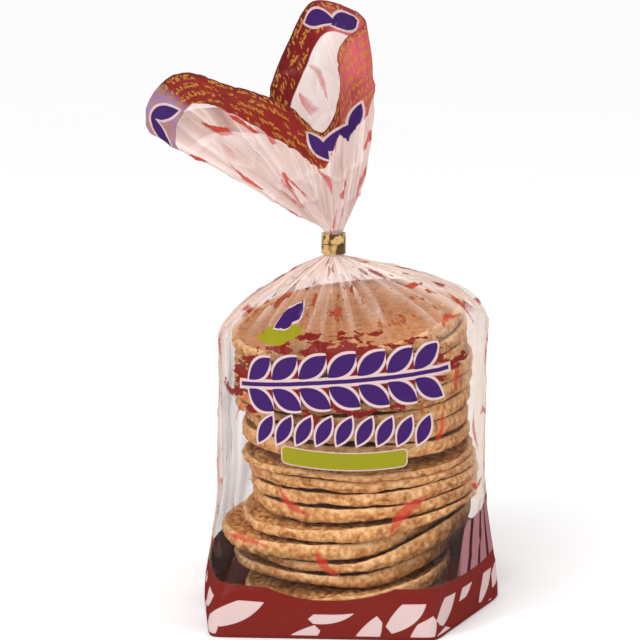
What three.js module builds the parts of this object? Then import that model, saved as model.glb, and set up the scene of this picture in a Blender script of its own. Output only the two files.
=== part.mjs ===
// A clear film bag of round wheat crispbreads, gathered above the stack and closed with a gold tie.
// Millimetres, +Z up. The bag stands on z = 0 with its printed front towards -Y.
import * as THREE from 'three';

// The stack inside sets the size of the bag.
const ROUND_DIAMETER = 105;
const ROUND_PITCH = 6.7;
const ROUND_COUNT = 19;
const STACK_TOP = ROUND_COUNT * ROUND_PITCH;

// The film stands off the stack by the slack, which is widest on the right.
const SLACK = 2.4;
const SLACK_RIGHT = 7.4;
const ROUND_RADIUS = ROUND_DIAMETER / 2;
const EDGE_HEIGHT = 0.8;
const EDGE_INSET = 0.6;

// Sides of the flat bottom: outward direction in degrees and distance from the axis.
// The folded gussets stick out furthest at the right.
const BOTTOM_SIDES = [[-86.8, 63], [-22, 62.8], [14.5, 66.2], [90, 54.5], [171.7, 62.8], [191.5, 63.8]];
const BODY_SIDES = [
  [-90, ROUND_RADIUS + SLACK],
  [0, ROUND_RADIUS + SLACK_RIGHT],
  [90, ROUND_RADIUS + SLACK],
  [180, ROUND_RADIUS + SLACK],
];
const BOTTOM_SHARPNESS = 40;
const BODY_SHARPNESS = 3.6;
const TOP_SHARPNESS = 2.5;
const BOTTOM_BLEND = 56;
const TOP_BLEND = 60;

// The top of the stack leans: higher at the right and a little at the back.
const LEAN_RIGHT = 0.06;
const LEAN_BACK = 0.02;
const SHOULDER_DROP = 5.9;
const SHOULDER_RISE = 8.3;
const SHOULDER_RISE_RIGHT = 4.7;
const SHOULDER_TURN_IN = 1.5;

// The neck that the tie closes.
const NECK_X = -6.2;
const NECK_RADIUS = 4.2;
const NECK_BOTTOM = 152.3;
const NECK_TOP = 162.8;
const NECK_FOOT_SPREAD = 17;
const NECK_FOOT_DROP = 7;

// The open mouth: a flattened lobe to the left and an upright lobe that opens to the front.
const MOUTH = [
  [-9.4, -17, 207.7], [-22.9, -17, 218.1], [-44.5, -14, 225.3], [-67.5, -9, 231.4],
  [-77.8, -3, 228], [-88, 3, 214.7], [-86.4, 7, 203], [-73.2, 11, 212.4],
  [-50.8, 12, 214.8], [-36.8, 13, 214.2], [-35.4, 18, 224.3], [-28.6, 22, 242.3],
  [-18.6, 23, 259.6], [-6.4, 21, 259], [5.6, 12, 251.9], [-3, 3, 243.5],
  [-4.5, -6, 233.5], [-3.6, -14, 220.7],
];
const MOUTH_WALL = 0.7;
const FUNNEL_BOTTOM = 0.44;
const FUNNEL_SHIFT_LEFT = 1.5;
const FUNNEL_SHIFT_FRONT = 0.7;
const MOUTH_BULGE_RIGHT = 17;
const MOUTH_BULGE_LEFT = -2;

// Gathers of the film: waves round the bag, and their depth on the shoulder and in the mouth.
const GATHERS = [[13, 0.4, 0.6], [19, 1.7, 0.4]];
const SHOULDER_GATHER = 1.3;
const MOUTH_GATHER = 0.8;

// The tie: a flat ribbon that goes round the neck twice and crosses its ends behind it.
const RIBBON_WIDTH = 4.2;
const RIBBON_THICKNESS = 0.8;
const TIE_GAP = 0.3;
const TURN_SPACING = 4.6;
const TIE_MIDDLE = 157.5;
const TAIL_LENGTH = 10;
const TAIL_SPREAD = 2.2;
const TAIL_CROSSING = 2.7;
// Degrees round the neck: the ribbon's start, its whole way and its climb to the second turn.
const TURN_START = 40;
const TURN_TOTAL = 620;
const CLIMB_START = 290;
const CLIMB_END = 330;
const TURN_STEPS = 44;
const RIBBON_STEPS = 150;

// How finely the curved film is divided.
const AROUND = 68;
const BODY_RINGS = 10;
const SHOULDER_RINGS = 9;
const MOUTH_RINGS = 11;
const FUNNEL_RINGS = 7;
const NORMAL_STEP = 0.02;

const radians = THREE.MathUtils.degToRad;
const lerp = THREE.MathUtils.lerp;
const smoothstep = THREE.MathUtils.smoothstep;

// Angle of each point of a ring: it starts at the front and goes round by the left.
const angleAt = (index) => -Math.PI / 2 - (2 * Math.PI * index) / AROUND;

function ring(place) {
  return Array.from({ length: AROUND }, (_, index) => place(angleAt(index), index));
}

// Distance from the axis to a many-sided outline with rounded corners.
function outlineRadius(sides, sharpness, angle) {
  let sum = 0;
  for (const [direction, distance] of sides) {
    const facing = Math.cos(angle - radians(direction)) / distance;
    sum += Math.max(facing, 0) ** sharpness;
  }
  return sum ** (-1 / sharpness);
}

function gather(angle) {
  let height = 0;
  for (const [waves, phase, share] of GATHERS) {
    height += share * Math.sin(waves * angle + phase);
  }
  return height;
}

// The film wall from the flat bottom up to the edge of the shoulder.
function edgeHeight(angle) {
  const lean = LEAN_RIGHT * Math.cos(angle) + LEAN_BACK * Math.sin(angle);
  return STACK_TOP - SHOULDER_DROP + ROUND_RADIUS * lean;
}

function wallRadius(angle, height) {
  const bottom = outlineRadius(BOTTOM_SIDES, BOTTOM_SHARPNESS, angle);
  const body = outlineRadius(BODY_SIDES, BODY_SHARPNESS, angle);
  const lower = lerp(bottom, body, smoothstep(height, 0, BOTTOM_BLEND));
  const top = outlineRadius(BODY_SIDES, TOP_SHARPNESS, angle);
  const edge = edgeHeight(angle);
  return lerp(lower, top, smoothstep(height, edge - TOP_BLEND, edge));
}

function wallPoint(angle, height, inset = 0) {
  const radius = wallRadius(angle, height) - inset;
  return new THREE.Vector3(radius * Math.cos(angle), radius * Math.sin(angle), height);
}

// The shoulder runs from the wall in to the neck.
function shoulderPoint(angle, along) {
  const edge = edgeHeight(angle);
  const wall = wallRadius(angle, edge);
  const rise = SHOULDER_RISE + SHOULDER_RISE_RIGHT * Math.cos(angle);
  const profile = new THREE.CubicBezierCurve(
    new THREE.Vector2(wall, edge),
    new THREE.Vector2(wall - SHOULDER_TURN_IN, edge + rise),
    new THREE.Vector2(NECK_RADIUS + NECK_FOOT_SPREAD, NECK_BOTTOM - NECK_FOOT_DROP),
    new THREE.Vector2(NECK_RADIUS, NECK_BOTTOM),
  );
  const { x: radius, y: height } = profile.getPoint(along);
  const depth = SHOULDER_GATHER * Math.sin(Math.PI * along) * gather(angle);
  return new THREE.Vector3(
    NECK_X * along + radius * Math.cos(angle),
    radius * Math.sin(angle),
    height + depth,
  );
}

function neckPoint(angle, height) {
  return new THREE.Vector3(
    NECK_X + NECK_RADIUS * Math.cos(angle),
    NECK_RADIUS * Math.sin(angle),
    height,
  );
}

// The mouth spreads from the neck to its rim.
const rimCurve = new THREE.CatmullRomCurve3(
  MOUTH.map(([x, y, z]) => new THREE.Vector3(x, y, z)),
  true,
  'centripetal',
);
const rim = rimCurve.getSpacedPoints(AROUND);

function mouthSkin(index, along) {
  const angle = angleAt(index);
  const foot = neckPoint(angle, NECK_TOP);
  const end = rim[(index + AROUND) % AROUND];
  const outward = new THREE.Vector3(Math.cos(angle), Math.sin(angle), 0);
  const right = Math.max(Math.cos(angle), 0);
  const left = Math.max(-Math.cos(angle), 0);
  const bulge = MOUTH_BULGE_RIGHT * right + MOUTH_BULGE_LEFT * left;
  const middle = foot.clone().lerp(end, 0.5).addScaledVector(outward, bulge);
  return new THREE.QuadraticBezierCurve3(foot, middle, end).getPoint(along);
}

// Inset 0 is the outer face of the film, inset 1 the inner face one wall behind it.
function mouthPoint(index, along, inset) {
  const low = mouthSkin(index, Math.max(along - NORMAL_STEP, 0));
  const up = mouthSkin(index, Math.min(along + NORMAL_STEP, 1)).sub(low);
  const side = mouthSkin(index - 1, along).sub(mouthSkin(index + 1, along));
  const outward = side.cross(up).normalize();
  const depth = MOUTH_GATHER * Math.sin(Math.PI * along) * gather(angleAt(index));
  return mouthSkin(index, along).addScaledVector(outward, depth - inset * MOUTH_WALL);
}

// A closed skin over a row of rings, with a middle point at both ends.
function loft(rings, first, last) {
  const points = [first, ...rings.flat(), last];
  const faces = [];
  const at = (row, index) => 1 + row * AROUND + (index % AROUND);
  const end = points.length - 1;
  for (let index = 0; index < AROUND; index += 1) {
    faces.push(0, at(0, index), at(0, index + 1));
    for (let row = 0; row + 1 < rings.length; row += 1) {
      const low = at(row, index);
      const lowNext = at(row, index + 1);
      const high = at(row + 1, index);
      const highNext = at(row + 1, index + 1);
      faces.push(low, high, lowNext, lowNext, high, highNext);
    }
    faces.push(end, at(rings.length - 1, index + 1), at(rings.length - 1, index));
  }
  const geometry = new THREE.BufferGeometry();
  geometry.setFromPoints(points);
  geometry.setIndex(faces);
  geometry.computeVertexNormals();
  return geometry;
}

function bagGeometry() {
  const rings = [ring((angle) => wallPoint(angle, 0, EDGE_INSET))];
  for (let row = 0; row <= BODY_RINGS; row += 1) {
    const share = row / BODY_RINGS;
    rings.push(ring((angle) => wallPoint(angle, lerp(EDGE_HEIGHT, edgeHeight(angle), share))));
  }
  for (let row = 1; row <= SHOULDER_RINGS; row += 1) {
    rings.push(ring((angle) => shoulderPoint(angle, row / SHOULDER_RINGS)));
  }
  for (let row = 0; row <= MOUTH_RINGS; row += 1) {
    rings.push(ring((angle, index) => mouthPoint(index, row / MOUTH_RINGS, 0)));
  }
  for (let row = 0; row <= FUNNEL_RINGS; row += 1) {
    const along = lerp(1, FUNNEL_BOTTOM, row / FUNNEL_RINGS);
    rings.push(ring((angle, index) => mouthPoint(index, along, 1)));
  }
  const funnel = rings[rings.length - 1];
  const middle = new THREE.Vector3(-FUNNEL_SHIFT_LEFT, -FUNNEL_SHIFT_FRONT, 0);
  for (const point of funnel) {
    middle.addScaledVector(point, 1 / AROUND);
  }
  return loft(rings, new THREE.Vector3(0, 0, 0), middle);
}

// A flat ribbon swept along a path, standing upright all the way.
function ribbonGeometry(path, samples) {
  const points = [];
  const faces = [];
  const upright = new THREE.Vector3(0, 0, 1);
  const corners = [[-1, -1], [1, -1], [1, 1], [-1, 1]];
  for (let step = 0; step <= samples; step += 1) {
    const place = path.getPointAt(step / samples);
    const ahead = path.getTangentAt(step / samples);
    const across = new THREE.Vector3().crossVectors(upright, ahead).normalize();
    for (const [side, height] of corners) {
      const corner = place.clone();
      corner.addScaledVector(across, (side * RIBBON_THICKNESS) / 2);
      corner.addScaledVector(upright, (height * RIBBON_WIDTH) / 2);
      points.push(corner);
    }
  }
  for (let step = 0; step < samples; step += 1) {
    for (let corner = 0; corner < 4; corner += 1) {
      const here = step * 4 + corner;
      const next = step * 4 + ((corner + 1) % 4);
      faces.push(here, next, here + 4, next, next + 4, here + 4);
    }
  }
  const end = samples * 4;
  faces.push(0, 2, 1, 0, 3, 2);
  faces.push(end, end + 1, end + 2, end, end + 2, end + 3);
  const geometry = new THREE.BufferGeometry();
  geometry.setFromPoints(points);
  geometry.setIndex(faces);
  geometry.computeVertexNormals();
  return geometry;
}

function tieGeometry() {
  const radius = NECK_RADIUS + TIE_GAP + RIBBON_THICKNESS / 2;
  const lower = TIE_MIDDLE - TURN_SPACING / 2;
  const upper = TIE_MIDDLE + TURN_SPACING / 2;
  const tail = (sideways, height) => [
    new THREE.Vector3(NECK_X, radius + TAIL_CROSSING, height),
    new THREE.Vector3(NECK_X + sideways, radius + TAIL_LENGTH / 2, height),
    new THREE.Vector3(NECK_X + sideways, radius + TAIL_LENGTH, height),
  ];
  const path = tail(-TAIL_SPREAD, lower).reverse();
  for (let step = 0; step <= TURN_STEPS; step += 1) {
    const travelled = (radians(TURN_TOTAL) * step) / TURN_STEPS;
    const angle = radians(TURN_START) - travelled;
    const climb = smoothstep(travelled, radians(CLIMB_START), radians(CLIMB_END));
    path.push(new THREE.Vector3(
      NECK_X + radius * Math.cos(angle),
      radius * Math.sin(angle),
      lerp(lower, upper, climb),
    ));
  }
  path.push(...tail(TAIL_SPREAD, upper));
  const curve = new THREE.CatmullRomCurve3(path, false, 'centripetal');
  return ribbonGeometry(curve, RIBBON_STEPS);
}

const bag = new THREE.Mesh(
  bagGeometry(),
  new THREE.MeshStandardMaterial({ color: 0xd9b48f, roughness: 0.3 }),
);
bag.name = 'bag';

const tie = new THREE.Mesh(
  tieGeometry(),
  new THREE.MeshStandardMaterial({ color: 0xd8b061, roughness: 0.3, metalness: 1 }),
);
tie.name = 'tie';

const group = new THREE.Group();
group.name = 'wheat_crispbread_pack';
group.add(bag);
group.add(tie);

export default group;
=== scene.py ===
"""Pack of wheat crispbread: a clear film bag, the round crispbreads in it and its gold tie."""
import math
import bpy
import numpy as np
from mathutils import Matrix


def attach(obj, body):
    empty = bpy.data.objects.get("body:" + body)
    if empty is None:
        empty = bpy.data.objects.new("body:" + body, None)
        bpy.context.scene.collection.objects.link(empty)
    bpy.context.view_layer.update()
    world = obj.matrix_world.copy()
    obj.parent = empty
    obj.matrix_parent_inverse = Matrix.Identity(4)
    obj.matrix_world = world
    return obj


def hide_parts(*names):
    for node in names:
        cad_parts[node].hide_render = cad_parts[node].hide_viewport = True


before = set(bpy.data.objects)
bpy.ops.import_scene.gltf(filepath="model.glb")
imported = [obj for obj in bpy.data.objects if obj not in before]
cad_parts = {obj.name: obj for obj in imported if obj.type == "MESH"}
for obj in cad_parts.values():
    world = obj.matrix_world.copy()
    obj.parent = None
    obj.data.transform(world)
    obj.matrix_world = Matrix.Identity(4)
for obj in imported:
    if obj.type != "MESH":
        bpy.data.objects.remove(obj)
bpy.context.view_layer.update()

MM = 0.001
TINY = 1e-6

# Form of the film in millimetres, the same values as the part's source
ROUND_PITCH = 6.7
ROUND_COUNT = 19
ROUND_RADIUS = 52.5
STACK_TOP = ROUND_COUNT * ROUND_PITCH
SLACK = 2.4
SLACK_RIGHT = 7.4
EDGE_HEIGHT = 0.8
EDGE_INSET = 0.6
BASE_RISE = 0.4
BOTTOM_SIDES = [(-86.8, 63), (-22, 62.8), (14.5, 66.2), (90, 54.5), (171.7, 62.8), (191.5, 63.8)]
BODY_SIDES = [(side, ROUND_RADIUS + SLACK) for side in (-90, 90, 180)]
BODY_SIDES.append((0, ROUND_RADIUS + SLACK_RIGHT))
BOTTOM_SHARPNESS = 40
BODY_SHARPNESS = 3.6
TOP_SHARPNESS = 2.5
BOTTOM_BLEND = 56
TOP_BLEND = 60
LEAN_RIGHT = 0.06
LEAN_BACK = 0.02
SHOULDER_DROP = 5.9
SHOULDER_RISE = 8.3
SHOULDER_RISE_RIGHT = 4.7
SHOULDER_TURN_IN = 1.5
NECK_X = -6.2
NECK_RADIUS = 4.2
NECK_BOTTOM = 152.3
NECK_TOP = 162.8
NECK_FOOT_SPREAD = 17
NECK_FOOT_DROP = 7
MOUTH_RIM = [
    (-9.4, -17, 207.7), (-22.9, -17, 218.1), (-44.5, -14, 225.3), (-67.5, -9, 231.4),
    (-77.8, -3, 228), (-88, 3, 214.7), (-86.4, 7, 203), (-73.2, 11, 212.4),
    (-50.8, 12, 214.8), (-36.8, 13, 214.2), (-35.4, 18, 224.3), (-28.6, 22, 242.3),
    (-18.6, 23, 259.6), (-6.4, 21, 259), (5.6, 12, 251.9), (-3, 3, 243.5),
    (-4.5, -6, 233.5), (-3.6, -14, 220.7),
]
MOUTH_BULGE_RIGHT = 17
MOUTH_BULGE_LEFT = -2

# Rows and columns of the film's mesh
AROUND = 384
BASE_ROWS = 8
FIRST_BASE_ROW = 0.05
WALL_ROWS = 110
SHOULDER_ROWS = 52
NECK_ROWS = 6
MOUTH_ROWS = 70
CURVE_STEPS = 60
# Zones that the rows belong to
BASE, WALL, SHOULDER, NECK, MOUTH = range(5)


# Seeded noise

class Noise:
    """Smooth noise in three dimensions, roughly from -1 to 1."""

    SIZE = 512
    GAIN = 1.6

    def __init__(self, seed):
        random = np.random.default_rng(seed)
        self.order = np.tile(random.permutation(self.SIZE), 2)
        slopes = random.normal(size=(self.SIZE, 3))
        self.slopes = slopes / np.linalg.norm(slopes, axis=1, keepdims=True)

    def __call__(self, x, y, z):
        point = np.stack(np.broadcast_arrays(x, y, z), -1).astype(float)
        cell = np.floor(point).astype(int)
        inside = point - cell
        ease = inside ** 3 * (inside * (inside * 6 - 15) + 10)
        total = 0.0
        for corner in np.ndindex(2, 2, 2):
            at = (cell + corner) % self.SIZE
            pick = self.order[at[..., 0]]
            pick = self.order[pick + at[..., 1]]
            pick = self.order[pick + at[..., 2]]
            height = ((inside - corner) * self.slopes[pick]).sum(-1)
            share = np.where(corner, ease, 1 - ease).prod(-1)
            total = total + share * height
        return total * self.GAIN


def round_noise(noise, angle, count, z, shift=0):
    """Noise round a circle, with more changes for a larger count."""
    return noise(np.cos(angle) * count + shift, np.sin(angle) * count, z)


def sheet_noise(noise, x, y, size, layer):
    """Noise over a level sheet, with lumps of about the given size."""
    return noise(x / size, y / size, layer)


def crease_lines(noise, sharpness):
    """Ridges along the lines where the noise changes sign."""
    return np.clip(1 - np.abs(noise) * sharpness, 0, 1) ** 2


def smooth_step(x, low, high):
    t = np.clip((x - low) / (high - low), 0, 1)
    return t * t * (3 - 2 * t)


def mix(a, b, share):
    return a + (b - a) * share


# The film's surface

def outline_radius(sides, sharpness, angle):
    total = 0.0
    for direction, distance in sides:
        total = total + np.maximum(np.cos(angle - math.radians(direction)) / distance, 0) ** sharpness
    return total ** (-1 / sharpness)


def edge_height(angle):
    lean = LEAN_RIGHT * np.cos(angle) + LEAN_BACK * np.sin(angle)
    return STACK_TOP - SHOULDER_DROP + ROUND_RADIUS * lean


def wall_radius(angle, height):
    edge = edge_height(angle)
    bottom = outline_radius(BOTTOM_SIDES, BOTTOM_SHARPNESS, angle)
    body = outline_radius(BODY_SIDES, BODY_SHARPNESS, angle)
    top = outline_radius(BODY_SIDES, TOP_SHARPNESS, angle)
    lower = mix(bottom, body, smooth_step(height, 0, BOTTOM_BLEND))
    return mix(lower, top, smooth_step(height, edge - TOP_BLEND, edge))


def shoulder_profile(angle, t):
    """Radius and height on the shoulder, from the wall's edge at 0 to the neck at 1."""
    edge = edge_height(angle)
    wall = wall_radius(angle, edge)
    rise = SHOULDER_RISE + SHOULDER_RISE_RIGHT * np.cos(angle)
    s = 1 - t
    first, second, third, last = s ** 3, 3 * s * s * t, 3 * s * t * t, t ** 3
    foot = NECK_RADIUS + NECK_FOOT_SPREAD
    radius = first * wall + second * (wall - SHOULDER_TURN_IN) + third * foot + last * NECK_RADIUS
    foot_height = NECK_BOTTOM - NECK_FOOT_DROP
    height = first * edge + second * (edge + rise) + third * foot_height + last * NECK_BOTTOM
    return radius, height


def ring(angle, radius, height, middle=0):
    x = middle + radius * np.cos(angle)
    y = radius * np.sin(angle)
    return np.stack(np.broadcast_arrays(x, y, height), -1)


def closed_curve(points, count):
    """Evenly spaced points on a smooth closed curve through the given points."""
    start = np.array(points, float)
    before, end, after = (np.roll(start, k, 0) for k in (1, -1, -2))
    gap0, gap1, gap2 = (
        np.sqrt(np.linalg.norm(b - a, axis=1, keepdims=True))
        for a, b in ((before, start), (start, end), (end, after))
    )
    out = (start - before) / gap0 - (end - before) / (gap0 + gap1) + (end - start) / gap1
    into = (end - start) / gap1 - (after - start) / (gap1 + gap2) + (after - end) / gap2
    out, into = out * gap1, into * gap1
    bend, twist = 3 * (end - start) - 2 * out - into, 2 * (start - end) + out + into
    steps = np.linspace(0, 1, CURVE_STEPS, endpoint=False)
    fine = np.stack([start + out * t + bend * t ** 2 + twist * t ** 3 for t in steps], 1).reshape(-1, 3)
    fine = np.vstack([fine, fine[:1]])
    length = np.r_[0, np.cumsum(np.linalg.norm(np.diff(fine, axis=0), axis=1))]
    wanted = np.linspace(0, length[-1], count, endpoint=False)
    return np.stack([np.interp(wanted, length, fine[:, k]) for k in range(3)], -1)


def mouth_surface(angle, rim, t):
    foot = ring(angle, NECK_RADIUS, NECK_TOP, NECK_X)
    outward = ring(angle, 1.0, 0.0)
    right = np.maximum(np.cos(angle), 0)
    left = np.maximum(-np.cos(angle), 0)
    bulge = (MOUTH_BULGE_RIGHT * right + MOUTH_BULGE_LEFT * left)[..., None]
    middle = (foot + rim) / 2 + outward * bulge
    t = t[..., None]
    return foot * (1 - t) ** 2 + middle * 2 * t * (1 - t) + rim * t * t


def film_grid():
    """Smooth surface points, rows from the middle of the bottom to the rim, and where each row is."""
    angle = (-math.pi / 2 - 2 * math.pi * np.arange(AROUND) / AROUND)[None, :]
    rows = []
    place = []
    bottom = wall_radius(angle, 0.0) - EDGE_INSET
    for share in np.linspace(FIRST_BASE_ROW, 1, BASE_ROWS):
        rows.append(ring(angle, bottom * share, 0.0 if share == 1 else BASE_RISE))
        place.append((BASE, share))
    edge = edge_height(angle)
    for share in np.linspace(0, 1, WALL_ROWS):
        height = EDGE_HEIGHT + (edge - EDGE_HEIGHT) * share
        rows.append(ring(angle, wall_radius(angle, height), height))
        place.append((WALL, share))
    for t in np.linspace(0, 1, SHOULDER_ROWS + 1)[1:]:
        radius, height = shoulder_profile(angle, t)
        rows.append(ring(angle, radius, height, NECK_X * t))
        place.append((SHOULDER, t))
    for t in np.linspace(0, 1, NECK_ROWS + 1)[1:]:
        rows.append(ring(angle, NECK_RADIUS, mix(NECK_BOTTOM, NECK_TOP, t), NECK_X))
        place.append((NECK, t))
    rim = closed_curve(MOUTH_RIM, AROUND)[None]
    for t in np.linspace(0, 1, MOUTH_ROWS + 1)[1:]:
        rows.append(mouth_surface(angle, rim, np.full_like(angle, t)))
        place.append((MOUTH, t))
    return angle, np.concatenate(rows), np.array(place)


def surface_normals(grid):
    across = np.roll(grid, -1, 1) - np.roll(grid, 1, 1)
    up = np.gradient(grid, axis=0)
    normal = np.cross(up, across)
    return normal / np.maximum(np.linalg.norm(normal, axis=-1, keepdims=True), TINY)


def flat_lengths(grid):
    """Distances on the film: up from its bottom edge, and down from its rim."""
    step = np.linalg.norm(np.diff(grid, axis=0), axis=-1)
    along = np.vstack([np.zeros((1, AROUND)), np.cumsum(step, 0)])
    edge = BASE_ROWS + WALL_ROWS - 1
    height = along - along[BASE_ROWS]
    height[BASE_ROWS:edge + 1] = grid[BASE_ROWS:edge + 1, :, 2]
    height[edge + 1:] = grid[edge, :, 2] + along[edge + 1:] - along[edge]
    return height, along[-1] - along


def around_lengths(points):
    """Distance round a closed row from its front, below 0 to the left, at both sides of each column."""
    step = np.linalg.norm(np.roll(points, -1, 0) - points, axis=-1)
    whole = step.sum()
    along = np.r_[0, np.cumsum(step)]
    left = np.arange(AROUND) < AROUND // 2
    return tuple(np.where(left, -part, whole - part) for part in (along[:-1], along[1:]))


# Folds of the film

# Kinds of folds: seed, how many go round, change along the film for each millimetre, sharpness, shifts
FIRST_PLEATS = (11, 7, 0.012, 2.6)
SECOND_PLEATS = (11, 15, 0.0192, 2.4, 40)
CRUMPLES = (12, 2.4, 1 / 24, 4.0)
UPRIGHT_FOLDS = (13, 9, 0.006, 2.2)
FINE_CREASES = (15, 6, 1 / 9, 6.0, 0, 7)
MOUTH_PLEATS = (14, 5, 0.010, 2.2, 9)
SHARP_MOUTH_PLEATS = (14, 5, 0.010, 4.0, 9)
FINE_MOUTH_PLEATS = (14, 11, 0.015, 2.4, 30)
# Heights of the folds in millimetres
PLEAT_FOR_RADIUS = 0.055
MOST_PLEAT = 2.2
WALL_PLEAT_SHARE = 0.35
SECOND_PLEAT_SHARE = 0.45
UPRIGHT_HEIGHT = 0.5
CRUMPLE_HEIGHT = 0.2
SIDE_CRUMPLE = 0.3
FINE_HEIGHT = 0.05
MOUTH_PLEAT_HEIGHT = 1.6
FINE_MOUTH_HEIGHT = 0.7
RIM_PLEAT_SHARE = 0.35
WAVE_SEED = 12
WAVE_SIZE = 16
WAVE_HEIGHT = 1.5
RIM_CRUMPLE = 0.9


def fold_lines(angle, path, seed, count, change, sharpness, shift=0, start=0):
    """Ridges along a path on the film, placed round the bag by noise."""
    noise = round_noise(Noise(seed), angle, count, path * change + start, shift)
    return crease_lines(noise, sharpness)


def shoulder_pleats(angle, grid, zone, t, height):
    """Pleats from the top of the wall into the neck: their height, and the painted highlight that whitens
    them.
    """
    first = fold_lines(angle, height, *FIRST_PLEATS)
    second = fold_lines(angle, height, *SECOND_PLEATS)
    shoulder = zone == SHOULDER
    onto = mix(WALL_PLEAT_SHARE, 1.0, smooth_step(t, 0, 0.35)) * shoulder
    onto = np.where(zone == WALL, WALL_PLEAT_SHARE * smooth_step(t, 0.8, 1.0), onto)
    radius = np.linalg.norm(grid[..., :2] - np.array([NECK_X, 0]), axis=-1)
    room = np.clip(PLEAT_FOR_RADIUS * radius, 0, MOST_PLEAT)
    room = room * np.where(shoulder, smooth_step(1 - t, 0.0, 0.18), 1)
    return onto * room * (first + SECOND_PLEAT_SHARE * second), onto * (first * 0.55 + second * 0.3)


def wall_folds(angle, zone, height):
    """Upright folds at the two sides, soft crumples and fine creases on the wall, likewise."""
    wall = zone == WALL
    side = np.abs(np.cos(angle)) ** 3
    upright = fold_lines(angle, height, *UPRIGHT_FOLDS) * side * smooth_step(height, 12, 45)
    upright = upright * wall * UPRIGHT_HEIGHT
    soft = fold_lines(angle, height, *CRUMPLES) * (CRUMPLE_HEIGHT + SIDE_CRUMPLE * side)
    soft = soft * smooth_step(height, 4, 25) * wall
    fine = fold_lines(angle, height, *FINE_CREASES) * FINE_HEIGHT * wall
    # The second value is the painted highlight on the upright folds and crumples
    return upright + soft + fine, upright * 0.2 + soft * 0.25


def mouth_folds(angle, grid, zone, t, to_rim):
    """Pleats from the neck, and waves and crumples near the rim of the mouth, likewise."""
    flare = smooth_step(t, 0.0, 0.25) * (zone == MOUTH)
    pleats = fold_lines(angle, to_rim, *MOUTH_PLEATS) * MOUTH_PLEAT_HEIGHT
    pleats = pleats + fold_lines(angle, to_rim, *FINE_MOUTH_PLEATS) * FINE_MOUTH_HEIGHT
    pleats = pleats * mix(1.0, RIM_PLEAT_SHARE, smooth_step(t, 0.5, 1.0))
    x, y, z = (grid[..., k] / WAVE_SIZE for k in range(3))
    wave = Noise(WAVE_SEED)(x + 5, y, z)
    waves = wave * WAVE_HEIGHT * smooth_step(t, 0.25, 0.6)
    crumples = crease_lines(wave, sharpness=5) * RIM_CRUMPLE
    # Painted highlight along the sharp pleats and the crumples near the rim
    painted_highlight = fold_lines(angle, to_rim, *SHARP_MOUTH_PLEATS) * 0.6 + crease_lines(wave, sharpness=9) * 0.3
    return flare * (pleats + waves + crumples), flare * painted_highlight


def wrinkles(angle, grid, place, height, to_rim):
    """Height of the film's folds above the smooth surface, and the painted highlight on the creases."""
    zone, t = place.T[..., None]
    lifts, painted_highlights = zip(
        shoulder_pleats(angle, grid, zone, t, height),
        wall_folds(angle, zone, height),
        mouth_folds(angle, grid, zone, t, to_rim),
    )
    return sum(lifts), np.clip(sum(painted_highlights), 0, 1)


# Haze of the film

BASE_HAZE = 0.9
FRONT_HAZE = 0.005
BACK_HAZE = 0.22
SIDE_HAZE = 0.46
LEFT_HAZE = 0.47
SHOULDER_HAZE = 0.16
SHOULDER_SHARE = 0.6
NECK_HAZE = 0.50
MOUTH_HAZE = 0.62
STREAK_SEED = 21
STREAK_SHARE = 0.45
THIN_STREAKS = 0.1
MOUTH_STREAKS = 0.35
CLOUD_SEED = 22
CLOUD_SHARE = 0.45
# Where the haze changes round the wall, as shares of the way to its front or back, and up the shoulder
FRONT_ON_RIGHT = (0.38, 0.62)
FRONT_ON_LEFT = (0.32, 0.58)
TO_BACK = (0.2, 0.7)
INTO_LEFT = (-0.15, 0.15)
OUT_OF_LEFT = (0.45, 0.85)
TO_NECK = (0.35, 1)


def haze_field(angle, place, height, to_rim):
    """How much of the film's own colour covers what is behind it."""
    zone, t = place.T[..., None]
    x, y = np.cos(angle), np.sin(angle)
    front = np.where(x > 0, smooth_step(-y, *FRONT_ON_RIGHT), smooth_step(-y, *FRONT_ON_LEFT))
    wall = mix(SIDE_HAZE, FRONT_HAZE, front)
    wall = mix(wall, BACK_HAZE, smooth_step(y, *TO_BACK))
    left = np.where(x < 0, smooth_step(y, *INTO_LEFT) - smooth_step(y, *OUT_OF_LEFT), 0)
    wall = mix(wall, LEFT_HAZE, left)
    shoulder = mix(wall, SHOULDER_HAZE, SHOULDER_SHARE)
    shoulder = mix(shoulder, NECK_HAZE, smooth_step(t, *TO_NECK))
    haze = np.full_like(height, BASE_HAZE)
    for number, value in ((WALL, wall), (SHOULDER, shoulder), (NECK, NECK_HAZE), (MOUTH, MOUTH_HAZE)):
        haze = np.where(zone == number, value, haze)
    streak, cloud = Noise(STREAK_SEED), Noise(CLOUD_SEED)
    streaks = round_noise(streak, angle, count=9, z=height * 0.006) * STREAK_SHARE
    streaks = streaks + round_noise(streak, angle, count=26, z=height * 0.012, shift=7) * THIN_STREAKS
    streaks = np.where(zone == MOUTH, streaks * MOUTH_STREAKS, streaks)
    clouds = round_noise(cloud, angle, count=3, z=to_rim / 22) * CLOUD_SHARE
    return np.clip(haze * (1 + streaks + clouds), 0, 1)


# Mesh helpers

def new_object(name, data):
    thing = bpy.data.objects.new(name, data)
    bpy.context.scene.collection.objects.link(thing)
    return thing


def new_piece(name, vertices, faces):
    """A smooth mesh from points in millimetres."""
    mesh = bpy.data.meshes.new(name)
    mesh.from_pydata((vertices * MM).tolist(), [], faces)
    mesh.polygons.foreach_set("use_smooth", [True] * len(mesh.polygons))
    mesh.update()
    return new_object(name, mesh)


def set_values(mesh, name, domain, values):
    layer = mesh.attributes.new(name, "FLOAT", domain)
    layer.data.foreach_set("value", np.asarray(values, np.float32).ravel())


def grid_faces(rows, columns):
    """Quads between closed rows, facing outwards for columns that run clockwise."""
    row, column = np.meshgrid(np.arange(rows - 1), np.arange(columns), indexing="ij")
    after = (column + 1) % columns
    lower, upper = row * columns, (row + 1) * columns
    return np.stack([lower + column, upper + column, upper + after, lower + after], -1).reshape(-1, 4)


# Material helpers

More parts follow.
